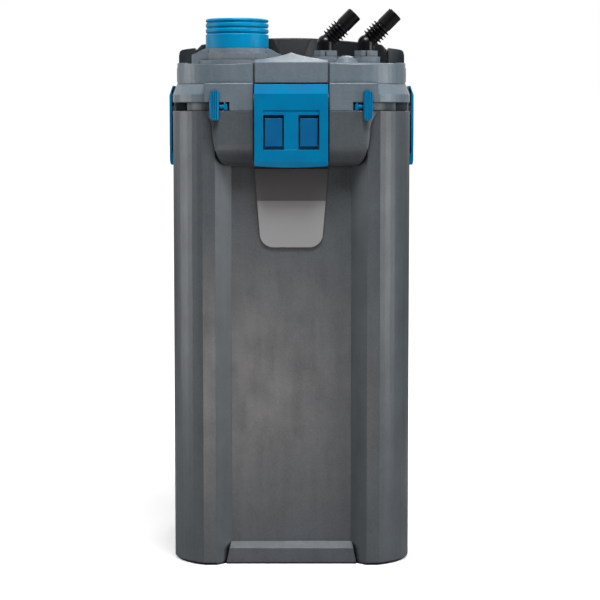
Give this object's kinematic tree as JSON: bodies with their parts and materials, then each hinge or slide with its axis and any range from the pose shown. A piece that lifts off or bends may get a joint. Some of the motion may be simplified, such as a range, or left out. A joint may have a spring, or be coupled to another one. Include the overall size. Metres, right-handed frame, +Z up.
{
  "type": "canister filter",
  "caption": "Tall rounded canister filter with four blue side clips, recessed front, two swivelling hose elbows and a blue grooved primer cap on a lift-out prefilter.",
  "frame": {"origin": "on the ground under the middle of the canister", "axes": "+Z up, front of the object towards -Y (the face with the two T levers and the bare plate), +X to the right seen from the front"},
  "size_m": [0.225, 0.245, 0.5002],
  "materials": {
    "body_plastic": "fine grained, satin grey",
    "label_plastic": "satin grey plate, bare",
    "deck_plastic": "fine grained, dark grey",
    "collar_plastic": "satin grey",
    "dark_plastic": "matt dark grey",
    "basket_plastic": "matt dark grey",
    "blue_plastic": "satin blue",
    "blue_catch": "satin blue, a little darker",
    "cap_blue": "satin blue",
    "black_plastic": "satin black",
    "seal_rubber": "matt black",
    "steel": "brushed",
    "ceramic": "ground",
    "magnet": "matt, plastic-bonded magnet",
    "coarse_foam": "open-cell foam, blue",
    "dark_foam": "open-cell foam, anthracite",
    "orange_foam": "open-cell foam, orange",
    "white_fleece": "fleece, white"
  },
  "bodies": {
    "tank_and_head": {"canister": "body_plastic", "label_plate": "label_plastic", "basket_1": "basket_plastic", "basket_2": "basket_plastic", "basket_3": "basket_plastic", "basket_4": "basket_plastic", "media_1": "coarse_foam", "media_2": "dark_foam", "media_3": "orange_foam", "media_4": "white_fleece", "head_base": "dark_plastic", "head_seal": "seal_rubber", "head_screws": "steel", "head_cover": "body_plastic", "rear_hump": "deck_plastic", "cable_gland": "seal_rubber", "clip_hinge_pins": "steel", "lever_pins": "steel", "connector_block": "collar_plastic", "union_nuts": "collar_plastic", "elbow_seals": "seal_rubber", "motor_block": "black_plastic", "pump_cover": "dark_plastic", "impeller_shaft": "ceramic", "shaft_bushes": "seal_rubber"},
    "clip_front": {"front_clip": "blue_plastic", "front_catch": "blue_catch"},
    "clip_rear": {"rear_clip": "blue_plastic", "rear_catch": "blue_catch"},
    "clip_left": {"left_clip": "blue_plastic", "left_catch": "blue_catch"},
    "clip_right": {"right_clip": "blue_plastic", "right_catch": "blue_catch"},
    "lever_left": {"left_lever": "blue_plastic"},
    "lever_right": {"right_lever": "blue_plastic"},
    "cartridge": {"prefilter_head": "dark_plastic", "strainer_tube": "dark_plastic", "prefilter_foam": "dark_foam", "prefilter_foot": "blue_plastic", "prefilter_seal": "seal_rubber"},
    "collar": {"prefilter_collar": "collar_plastic", "primer_spring": "steel"},
    "cap": {"primer_cap": "cap_blue"},
    "elbow_in": {"inlet_elbow": "black_plastic"},
    "elbow_out": {"outlet_elbow": "black_plastic"},
    "rotor": {"impeller": "magnet"}
  },
  "joints": [
    {"name": "front_clip_hinge", "type": "hinge", "parent": "tank_and_head", "child": "clip_front", "pos_m": [0, -0.1165, 0.4245], "axis": [-1, 0, 0], "range_deg": [0, 100]},
    {"name": "rear_clip_hinge", "type": "hinge", "parent": "tank_and_head", "child": "clip_rear", "pos_m": [0, 0.1165, 0.4245], "axis": [1, 0, 0], "range_deg": [0, 100]},
    {"name": "left_clip_hinge", "type": "hinge", "parent": "tank_and_head", "child": "clip_left", "pos_m": [-0.1065, 0, 0.4245], "axis": [0, 1, 0], "range_deg": [0, 100]},
    {"name": "right_clip_hinge", "type": "hinge", "parent": "tank_and_head", "child": "clip_right", "pos_m": [0.1065, 0, 0.4245], "axis": [0, -1, 0], "range_deg": [0, 100]},
    {"name": "left_lever_hinge", "type": "hinge", "parent": "tank_and_head", "child": "lever_left", "pos_m": [-0.058, -0.1153, 0.4107], "axis": [0, 0, 1], "range_deg": [0, 90]},
    {"name": "right_lever_hinge", "type": "hinge", "parent": "tank_and_head", "child": "lever_right", "pos_m": [0.058, -0.1153, 0.4107], "axis": [0, 0, -1], "range_deg": [0, 90]},
    {"name": "prefilter_lift", "type": "slide", "parent": "tank_and_head", "child": "cartridge", "axis": [0, 0, 1], "range_m": [0, 0.39]},
    {"name": "collar_turn", "type": "hinge", "parent": "cartridge", "child": "collar", "pos_m": [-0.0494, -0.05, 0.4463], "axis": [0, 0, 1], "range_deg": [-45, 0]},
    {"name": "primer_press", "type": "slide", "parent": "collar", "child": "cap", "axis": [0, 0, -1], "range_m": [0, 0.01], "stiffness_N_per_m": 300, "springref_m": -0.005, "deforming": ["primer_spring"]},
    {"name": "inlet_swivel", "type": "hinge", "parent": "tank_and_head", "child": "elbow_in", "pos_m": [0.031, -0.05, 0.4566], "axis": [0, 0, 1], "range_deg": [-90, 90]},
    {"name": "outlet_swivel", "type": "hinge", "parent": "tank_and_head", "child": "elbow_out", "pos_m": [0.0678, -0.05, 0.4566], "axis": [0, 0, 1], "range_deg": [-90, 90]},
    {"name": "impeller_spin", "type": "hinge", "parent": "tank_and_head", "child": "rotor", "pos_m": [0.045, 0.045, 0.4], "axis": [0, 0, 1], "continuous": true}
  ]
}
